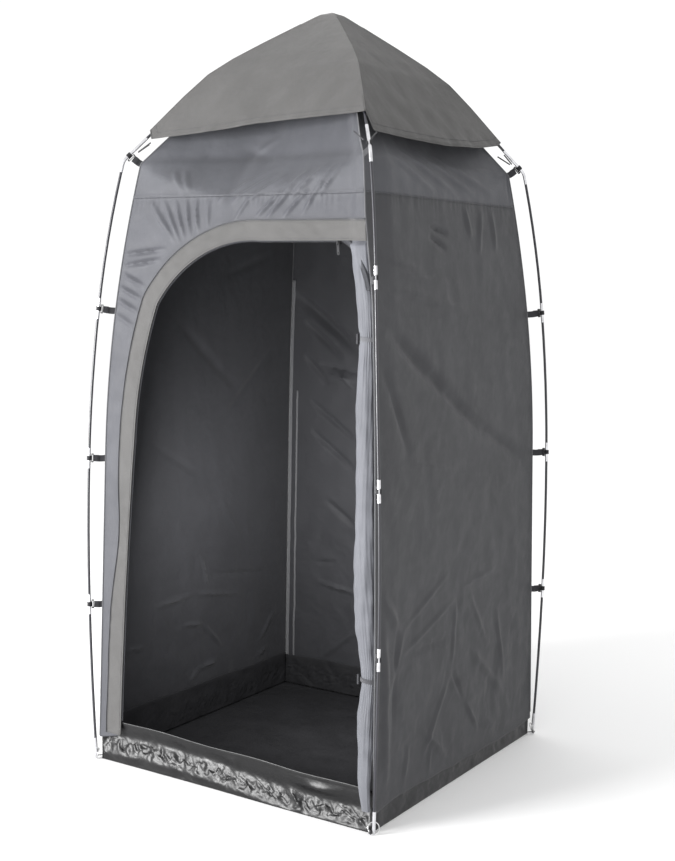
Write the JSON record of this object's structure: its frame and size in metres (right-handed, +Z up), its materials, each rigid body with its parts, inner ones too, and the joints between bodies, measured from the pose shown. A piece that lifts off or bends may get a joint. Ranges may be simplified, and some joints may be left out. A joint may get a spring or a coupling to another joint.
{
  "type": "privacy shower tent",
  "caption": "Tall square privacy tent hung by webbing straps from two crossing shock-corded poles, with a tub floor, an arched zip doorway, its door rolled and tied, and a separate roof fly.",
  "frame": {"origin": "on the ground under the middle of the tent", "axes": "+Z up, the doorway faces -Y, +X to the right of someone looking at the doorway"},
  "size_m": [1.0414, 1.0452, 2.269],
  "materials": {
    "rod": "black pultruded fibreglass rod, glossy",
    "steel": "bright plated steel tube and wire",
    "elastic": "braided black elastic cord",
    "wall_cloth": "blue-grey woven polyester",
    "door_cloth": "blue-grey woven polyester, rolled",
    "fly_cloth": "warm grey coated woven polyester",
    "facing_cloth": "smooth warm grey facing cloth with piped edge",
    "groundsheet": "dark grey woven polyethylene sheet, slightly shiny",
    "webbing": "black woven webbing",
    "clip_plastic": "black moulded plastic",
    "tie": "narrow black tape",
    "zip_coil": "dark coil zip on its tape",
    "zip_metal": "black coated zip slider"
  },
  "bodies": {
    "tent": {"apex_elbow_lower": "steel", "apex_elbow_upper": "steel", "apex_tie": "webbing", "back_wall": "wall_cloth", "door_arch_facing": "facing_cloth", "ferrules_back_left": "steel", "ferrules_back_right": "steel", "ferrules_front_left": "steel", "ferrules_front_right": "steel", "foot_pins": "steel", "front_wall": "wall_cloth", "groundsheet": "groundsheet", "inner_roof": "wall_cloth", "left_wall": "wall_cloth", "leg_rods_back_left": "rod", "leg_rods_back_right": "rod", "leg_rods_front_left": "rod", "leg_rods_front_right": "rod", "pole_clips_back_left": "clip_plastic", "pole_clips_back_right": "clip_plastic", "pole_clips_front_left": "clip_plastic", "pole_clips_front_right": "clip_plastic", "pole_tips": "steel", "right_wall": "wall_cloth", "ring_tabs": "webbing", "roof_bend_tube_back_left": "steel", "roof_bend_tube_back_right": "steel", "roof_bend_tube_front_left": "steel", "roof_bend_tube_front_right": "steel", "roof_rods_back_left": "rod", "roof_rods_back_right": "rod", "roof_rods_front_left": "rod", "roof_rods_front_right": "rod", "shock_cord_lower_pole": "elastic", "shock_cord_upper_pole": "elastic", "shoulder_elbow_back_left": "steel", "shoulder_elbow_back_right": "steel", "shoulder_elbow_front_left": "steel", "shoulder_elbow_front_right": "steel", "webbing_straps_back_left": "webbing", "webbing_straps_back_right": "webbing", "webbing_straps_front_left": "webbing", "webbing_straps_front_right": "webbing", "zip_chain": "zip_coil"},
    "fly": {"roof_fly": "fly_cloth", "fly_elastics": "elastic"},
    "zip_slider": {"zip_slider": "zip_metal"},
    "zip_pull": {"zip_pull": "zip_metal"},
    "door": {"door_roll": "door_cloth", "upper_door_tie": "tie", "lower_door_tie": "tie"},
    "upper_toggle": {"upper_tie_toggle": "clip_plastic"},
    "lower_toggle": {"lower_tie_toggle": "clip_plastic"},
    "ring_front_left": {"corner_ring_front_left": "steel"},
    "ring_front_right": {"corner_ring_front_right": "steel"},
    "ring_back_right": {"corner_ring_back_right": "steel"},
    "ring_back_left": {"corner_ring_back_left": "steel"}
  },
  "joints": [
    {"name": "fly_lift", "type": "slide", "parent": "tent", "child": "fly", "axis": [0, 0, 1], "range_m": [0, 0.3]},
    {"name": "zip_slide", "type": "slide", "parent": "tent", "child": "zip_slider", "axis": [1, 0, 0], "range_m": [-0.22, 0]},
    {"name": "zip_pull_flip", "type": "hinge", "parent": "zip_slider", "child": "zip_pull", "pos_m": [0.318, -0.43863, 1.57473], "axis": [-1, 0, 0], "range_deg": [0, 150]},
    {"name": "door_swing", "type": "hinge", "parent": "tent", "child": "door", "pos_m": [0.47514, -0.49414, 0.062], "axis": [-0.0396, 0.0376, 0.9985], "range_deg": [0, 9]},
    {"name": "lower_toggle_turn", "type": "hinge", "parent": "door", "child": "lower_toggle", "pos_m": [0.43368, -0.48411, 0.415], "axis": [-0.803, -0.596, 0], "range_deg": [-60, 60]},
    {"name": "upper_toggle_turn", "type": "hinge", "parent": "door", "child": "upper_toggle", "pos_m": [0.39627, -0.45586, 1.322], "axis": [-0.748, -0.6638, 0], "range_deg": [-60, 60]},
    {"name": "ring_lean_front_left", "type": "hinge", "parent": "tent", "child": "ring_front_left", "pos_m": [-0.5, -0.5, 0.0046], "axis": [-0.7071, 0.7071, 0], "range_deg": [0, 12]},
    {"name": "ring_lean_front_right", "type": "hinge", "parent": "tent", "child": "ring_front_right", "pos_m": [0.5, -0.5, 0.0046], "axis": [-0.7071, -0.7071, 0], "range_deg": [0, 12]},
    {"name": "ring_lean_back_right", "type": "hinge", "parent": "tent", "child": "ring_back_right", "pos_m": [0.5, 0.5, 0.0046], "axis": [0.7071, -0.7071, 0], "range_deg": [0, 12]},
    {"name": "ring_lean_back_left", "type": "hinge", "parent": "tent", "child": "ring_back_left", "pos_m": [-0.5, 0.5, 0.0046], "axis": [0.7071, 0.7071, 0], "range_deg": [0, 12]}
  ]
}
